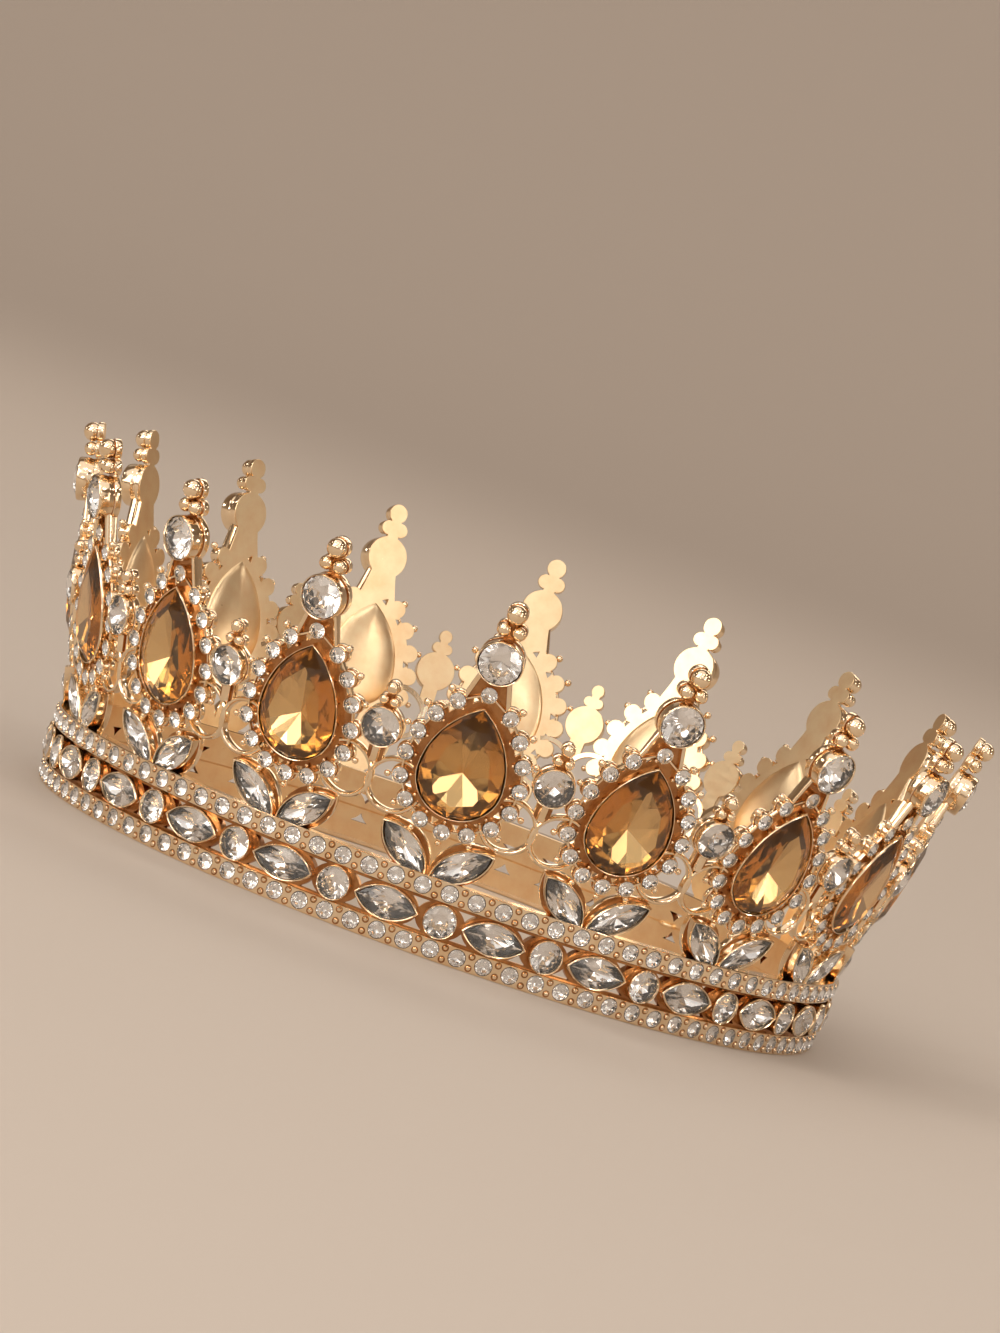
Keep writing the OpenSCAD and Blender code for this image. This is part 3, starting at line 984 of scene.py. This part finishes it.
def bumped(tree, shader, noise, strength, depth):
    """Bumps a finish by a noise that stays with the object."""
    link = tree.links.new
    place = node(tree, "ShaderNodeTexCoord")
    bump = node(tree, "ShaderNodeBump", Strength=strength, Distance=depth)
    link(place.outputs["Object"], noise.inputs["Vector"])
    link(noise.outputs["Fac"], bump.inputs["Height"])
    link(bump.outputs["Normal"], shader.inputs["Normal"])


def plated(name, light, dark, smooth, rough, grain_size, grain_depth):
    """Plated cast metal: cloudy colour, uneven polish and a fine casting grain."""
    material, tree, shader = new_finish(name, light, 1.0, smooth)
    link = tree.links.new
    place = node(tree, "ShaderNodeTexCoord")
    clouds = node(tree, "ShaderNodeTexNoise", Scale=260.0, Detail=4.0, Roughness=0.6)
    tint = node(tree, "ShaderNodeValToRGB")
    tint.color_ramp.elements[0].color = (*dark, 1)
    tint.color_ramp.elements[0].position = 0.3
    tint.color_ramp.elements[1].color = (*light, 1)
    tint.color_ramp.elements[1].position = 0.62
    polish = node(tree, "ShaderNodeMapRange")
    polish.inputs["To Min"].default_value = smooth
    polish.inputs["To Max"].default_value = rough
    casting = node(tree, "ShaderNodeTexNoise", Scale=1 / (grain_size * MM), Detail=3.0,
                   Roughness=0.55)
    link(place.outputs["Object"], clouds.inputs["Vector"])
    link(clouds.outputs["Fac"], tint.inputs["Fac"])
    link(tint.outputs["Color"], shader.inputs["Base Color"])
    link(casting.outputs["Fac"], polish.inputs["Value"])
    link(polish.outputs["Result"], shader.inputs["Roughness"])
    bumped(tree, shader, casting, 0.6, grain_depth * MM)
    return material


def glass(name, color, ior):
    return new_finish(name, color, 0.0, 0.015, Transmission_Weight=1.0, IOR=ior)[0]


def foil(name, color, shine, ripple_depth):
    """Mirror foil behind a stone, with a faint ripple."""
    material, tree, shader = new_finish(name, color, shine, 0.08)
    ripple = node(tree, "ShaderNodeTexNoise", Scale=700.0, Detail=1.0)
    bumped(tree, shader, ripple, 0.35, ripple_depth * MM)
    return material


gold = plated("polished champagne gold", (0.97, 0.79, 0.56), (0.91, 0.67, 0.41),
              0.08, 0.18, 0.5, 0.02)
satin = plated("satin champagne gold", (0.95, 0.72, 0.44), (0.89, 0.61, 0.34),
               0.24, 0.38, 0.9, 0.015)
# Darker copper gold that is painted shade: it darkens the sheet fronts between the parts, the
# band's channel, the wells under the stones, the rails' drill holes and the rings round the rail
# grains.
painted_shade_gold = plated("gold darkened as painted shade", (0.5, 0.24, 0.095), (0.28, 0.11, 0.04),
                0.14, 0.3, 0.5, 0.03)
crystal = glass("clear crystal", (1.0, 1.0, 1.0), CRYSTAL_IOR)
silver_foil = foil("silver foil", (0.97, 0.955, 0.935), 0.9, 0.002)
amber = glass("amber crystal", (1.0, 0.52, 0.16), CRYSTAL_IOR)
pale_amber = glass("pale amber table", (1.0, 0.8, 0.52), CRYSTAL_IOR)
gold_foil = foil("pale gold foil", (0.84, 0.69, 0.46), 0.92, 0.001)


# Pieces of the crown

metals = (gold, satin, painted_shade_gold)
clear = (crystal, silver_foil, crystal)
warm = (amber, gold_foil, pale_amber)


def metal(name, source, count, finishes, smooth, form=None):
    finished(name, source, count, finishes, ["frame"], form, smooth)


def clear_stones(name, source, count, stands_for, form=None):
    finished(name, source, count, clear, stands_for, form)


metal("peaks", mesh_object("peak", peak()), PEAKS, metals, 35)
metal("halo_links", mesh_object("links", halo_links()), PEAKS, (gold,), 50)
halo_seats = [sheet_seat(x, y + DROP_AT, HALO_CUP_UP) for x, y in HALO]
metal("halo_cups", seats_object("halo seats", halo_seats), PEAKS, (gold,), 40,
      mesh_object("halo cup", halo_cup(), MM))
grain_seats = []
for i, spot in enumerate(HALO):
    if i not in NO_GRAIN:
        x, y = spot + outwards(spot) * GRAIN_OUT
        growth = 0.74 if i in LARGE_GRAIN else 0.62
        grain_seats.append((sheet_seat(x, y + DROP_AT, GRAIN_UP), growth))
metal("halo_grains", seats_object("grain seats", grain_seats), PEAKS, (gold,), 80,
      mesh_object("grain", grain(1.0), MM))
inner_seats = [sheet_seat(*(spot - outwards(spot) * GRAIN_IN + (0, DROP_AT)), INNER_GRAIN_UP)
               for spot in HALO]
metal("inner_grains", seats_object("inner grain seats", inner_seats), PEAKS, (gold,), 80,
      mesh_object("inner grain", grain(0.36, 7), MM))
metal("between_cups", mesh_object("between", between()), PEAKS, metals, 40)
metal("band", mesh_object("band unit", band_unit()), PAIRS, metals, 30)
metal("band_cups", mesh_object("band cup pair", band_cups()), PAIRS, (gold,), 40)
rail_middles = [(RAIL_LOW + LOW_RAIL_TOP) / 2, (HIGH_RAIL_FOOT + RAIL_HIGH) / 2]
rail_grains = [band_seat(CELL / 2, middle + rise, 0) for middle in rail_middles
               for rise in (-1.05, 1.05)]
metal("rail_grains", seats_object("rail grain seats", rail_grains), CELLS, (gold, painted_shade_gold), 40,
      mesh_object("rail grain", raised_grain(), MM))
loop = mesh_object("loop", ribbon_loop())
loop.data.transform(Matrix.Rotation(math.radians(-37), 4, "Z"))
metal("ribbon_loops", loop, 4, metals, 60)

# Stones: outline, then the table's share of it, the height over the girdle and the depth
pear_cut = stone(teardrop(-0.22, 4, 8), 0.7, 1.2, 2.9, middle=(0, 0.8), knee=0.9, steps=True)
crest_cut = stone(circle(3.74, steps=16), 0.56, 1.0, 3.15)
for i in range(PEAKS):
    around = Matrix.Rotation(math.radians(PITCH * i), 4, "Z")
    pear = Form().take(pear_cut, at(around @ sheet_seat(0, DROP_AT, DROP_CUP_H - SINK)))
    finished(f"pear_stone_{i + 1}", mesh_object("pear", pear), 1, warm,
             [f"teardrop_stone_{i + 1}"])
    crest = Form().take(crest_cut, at(around @ sheet_seat(0, TOP_AT, TOP_H - SINK)))
    clear_stones(f"crest_stone_{i + 1}", mesh_object("crest", crest), 1, [f"top_stone_{i + 1}"])

middle_cut = stone(circle(3.41, steps=16), 0.56, 0.9, 2.2)
middles = Form().take(middle_cut, at(flat_seat(PITCH / 2, MID_AT, MID_H - SINK)))
clear_stones("middle_stones", mesh_object("middle", middles), PEAKS, ["between_stones"])

leaf_cut = stone(boat(LEAF, -WALL - AIR, 8), 0.5, 0.85, 1.85, keel=0.55)
leaves = Form()
for side in (-1, 1):
    seat = sheet_seat(side * LEAF_AT[0], LEAF_AT[1], LEAF_H - SINK, side * LEAF_TILT)
    leaves.take(leaf_cut, at(seat))
clear_stones("leaf_cut_stones", mesh_object("leaves", leaves), PEAKS, ["leaf_stones"])

band_round_cut = stone(circle(2.82, steps=16), 0.56, 0.75, 2.1)
band_boat_cut = stone(boat(BOAT, -WALL - AIR, 8), 0.5, 0.75, 2.05, keel=0.55)
girdle_out = BAND_CUP_H - SINK - CHANNEL
row = Form().take(band_round_cut, at(band_seat(ROUND_TURN, BAND_H / 2, girdle_out)))
row.take(band_boat_cut, at(band_seat(BOAT_TURN, BAND_H / 2, girdle_out)))
clear_stones("band_cut_stones", mesh_object("row", row), PAIRS, ["band_stones"])

small_cut = stone(circle(1.4, steps=12), 0.56, 0.45, 1.05, edge=0.08)
halo_stone_seats = [sheet_seat(x, y + DROP_AT, HALO_STONE_UP) for x, y in HALO]
clear_stones("halo_stones", seats_object("halo stone seats", halo_stone_seats), PEAKS, [],
             mesh_object("halo stone", small_cut, MM))
rail_cut = stone(circle(1.5, steps=12), 0.56, 0.45, 1.2, edge=0.08)
rail_seats = [band_seat(0, middle, 0.04) for middle in rail_middles]
clear_stones("rail_stones", seats_object("rail stone seats", rail_seats), CELLS, [],
             mesh_object("rail stone", rail_cut, MM))


# Studio: a pale floor that rises into a round wall far away, soft lights and the camera

def studio():
    floor_r, cove, wall_h = 2.3, 2.2, 3.0
    turns = np.radians(np.linspace(-90, 0, 10))
    profile = [(0, 0)] + [(r, 0) for r in (0.3, 0.8, 1.6)]
    profile += [(floor_r + cove * math.cos(t), cove + cove * math.sin(t)) for t in turns]
    profile.append((floor_r + cove, wall_h))
    stage = mesh_object("floor", lathe(profile, 96))
    for mesh_face in stage.data.polygons:
        mesh_face.use_smooth = True
    paint, tree, shader = new_finish("pale warm paper", (0.6, 0.51, 0.43), 0.0, 0.75)
    fibres = node(tree, "ShaderNodeTexNoise", Scale=40.0, Detail=5.0)
    bumped(tree, shader, fibres, 0.08, 0.001)
    stage.data.materials.append(paint)


def softbox(name, place, target, size, glow, color):
    """Rectangular lamp of a given glow, so that its size alters its light and not its look."""
    data = bpy.data.lights.new(name, "AREA")
    data.shape = "RECTANGLE"
    data.size, data.size_y = size
    data.energy = glow * math.pi * size[0] * size[1]
    data.color = color
    thing = bpy.data.objects.new(name, data)
    bpy.context.scene.collection.objects.link(thing)
    thing.visible_camera = False
    thing.location = place
    thing.rotation_euler = (Vector(target) - Vector(place)).to_track_quat("-Z", "Y").to_euler()


def ceiling(place, strength, color):
    """Wide soft light from one side of the sky, as even far away as near the crown."""
    data = bpy.data.lights.new("ceiling", "SUN")
    data.energy = strength
    data.angle = math.radians(75)
    data.color = color
    thing = bpy.data.objects.new("ceiling", data)
    bpy.context.scene.collection.objects.link(thing)
    thing.rotation_euler = Vector(place).to_track_quat("Z", "Y").to_euler()


def towards(turn, rise):
    """Direction from the crown, as degrees from its front and over the floor."""
    turn, rise = math.radians(turn), math.radians(rise)
    return Vector((math.sin(turn) * math.cos(rise), -math.cos(turn) * math.cos(rise),
                   math.sin(rise)))


def camera():
    """At the photo's side of the crown and the photo's tilt, but just above the floor."""
    roll = math.radians(19.7)
    distance, lens = 1.268, 186.3
    target = Vector((-0.002, 0, 0.047))
    back = towards(1.4, 4.0)
    data = bpy.data.cameras.new("camera")
    data.lens = lens
    data.clip_start, data.clip_end = 0.01, 50
    thing = bpy.data.objects.new("camera", data)
    bpy.context.scene.collection.objects.link(thing)
    aim = (-back).to_track_quat("-Z", "Y").to_matrix().to_4x4()
    thing.matrix_world = Matrix.Translation(target + back * distance) @ aim @ \
        Matrix.Rotation(roll, 4, "Z")
    bpy.context.scene.camera = thing


def world():
    sky = bpy.data.worlds.new("studio air")
    bpy.context.scene.world = sky
    sky.use_nodes = True
    sky.node_tree.nodes["Background"].inputs["Color"].default_value = (0.42, 0.3, 0.21, 1)
    sky.node_tree.nodes["Background"].inputs["Strength"].default_value = 0.5


studio()
world()
crown = (0, 0, 0.03)
ceiling((-0.25, -0.35, 1), 1.25, (1.0, 0.97, 0.93))
softbox("left box", (-0.95, -1.0, 0.7), crown, (0.8, 1.0), 3.4, (1.0, 0.97, 0.93))
softbox("front box", (0.1, -2.1, 0.95), crown, (2.6, 1.3), 0.8, (1.0, 0.98, 0.95))
softbox("right strip", (0.95, -0.85, 0.5), crown, (0.25, 0.9), 2.4, (1.0, 0.94, 0.87))
softbox("rear box", (0, 2.6, 1.8), (0, 2.6, 0), (3.0, 2.0), 0.3, (1.0, 0.95, 0.9))
softbox("back box", (0.2, 1.1, 0.9), crown, (1.2, 0.4), 2.6, (1.0, 0.94, 0.86))
# Small bright lamps in an arch round the front, which the facets catch one by one
for number in range(14):
    place = 1.2 * towards(-104 + 16 * number, (12, 34, 56)[number % 3])
    softbox(f"spark {number}", place, crown, (0.1, 0.1), 16, (1.0, 0.98, 0.95))
camera()
view = bpy.context.scene.view_settings
view.view_transform = "Standard"
view.exposure = -0.35
